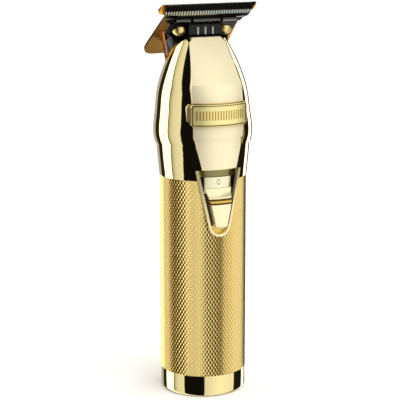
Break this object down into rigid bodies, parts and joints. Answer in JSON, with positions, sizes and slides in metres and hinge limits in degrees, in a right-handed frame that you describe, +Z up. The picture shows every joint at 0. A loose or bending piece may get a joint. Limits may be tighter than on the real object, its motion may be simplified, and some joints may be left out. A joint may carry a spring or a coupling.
{
  "type": "hair trimmer",
  "caption": "Cordless T-blade hair trimmer: round knurled grip, polished housing with a slide switch, leaning toothed blade with a sideways-moving cutter.",
  "frame": {"origin": "middle of the foot, at the mouth of the charging socket", "axes": "+Z up along the grip, -Y towards the switch and badge, +X to the right seen from the front"},
  "size_m": [0.0424, 0.044, 0.1654],
  "materials": {
    "badge_gold": "polished gold plate",
    "black_plastic": "gloss black moulding",
    "black_steel": "black coated ground steel",
    "blade_gold": "gold coated ground steel",
    "board_green": "solder mask over glass laminate",
    "brass": "turned brass",
    "cell_wrap": "shrink wrapped cell",
    "chip_black": "moulded packages",
    "clear_lens": "clear moulded lens",
    "knurled_gold": "diamond knurled, gold plated",
    "lead_wire": "insulated lead",
    "magnet": "sintered, dark",
    "polished_gold": "mirror polished gold plating",
    "satin_gold": "fine satin champagne gold",
    "seal_rubber": "moulded rubber",
    "steel": "plated steel",
    "switch_gold": "polished pale gold",
    "white_plastic": "natural acetal moulding"
  },
  "bodies": {
    "handset": {"badge_backing": "polished_gold", "badge_plate": "badge_gold", "base_cap": "black_plastic", "base_ring": "polished_gold", "base_screws": "steel", "base_seal": "seal_rubber", "battery_cell": "cell_wrap", "battery_leads": "lead_wire", "battery_tabs": "steel", "blade_carrier": "black_plastic", "blade_screws": "blade_gold", "board_chips": "chip_black", "board_screws": "steel", "charge_led": "clear_lens", "charging_socket": "black_plastic", "chassis_front": "black_plastic", "chassis_rear": "black_plastic", "circuit_board": "board_green", "fixed_blade": "blade_gold", "guide_pads": "black_plastic", "knurled_barrel": "knurled_gold", "led_lens": "clear_lens", "motor_brushes": "magnet", "motor_can": "steel", "motor_end_cap": "black_plastic", "motor_front_bearing": "brass", "motor_leads": "lead_wire", "motor_magnets": "magnet", "motor_mount": "steel", "motor_rear_bearing": "brass", "motor_screws": "steel", "neck_bracket": "polished_gold", "neck_seal": "seal_rubber", "screw_plate": "black_steel", "slide_switch": "black_plastic", "socket_contacts": "brass", "spine_panel": "satin_gold", "switch_bezel": "polished_gold", "switch_floor": "switch_gold", "tension_spring": "black_steel", "upper_housing": "polished_gold"},
    "switch": {"switch_slider": "switch_gold", "switch_lever": "black_plastic"},
    "rotor": {"motor_shaft": "steel", "rotor_core": "magnet", "commutator": "brass", "eccentric_cam": "brass", "drive_pin": "steel", "pin_sleeve": "brass"},
    "cutter": {"cutter_blade": "black_steel", "cutter_yoke": "white_plastic"}
  },
  "joints": [
    {"name": "switch_slide", "type": "slide", "parent": "handset", "child": "switch", "axis": [0, 0, 1], "range_m": [0, 0.0035]},
    {"name": "motor_spin", "type": "hinge", "parent": "handset", "child": "rotor", "pos_m": [0, 0.002, 0.12], "axis": [0, 0, 1], "continuous": true},
    {"name": "cutter_slide", "type": "slide", "parent": "handset", "child": "cutter", "axis": [1, 0, 0], "range_m": [-0.001, 0.001]}
  ]
}
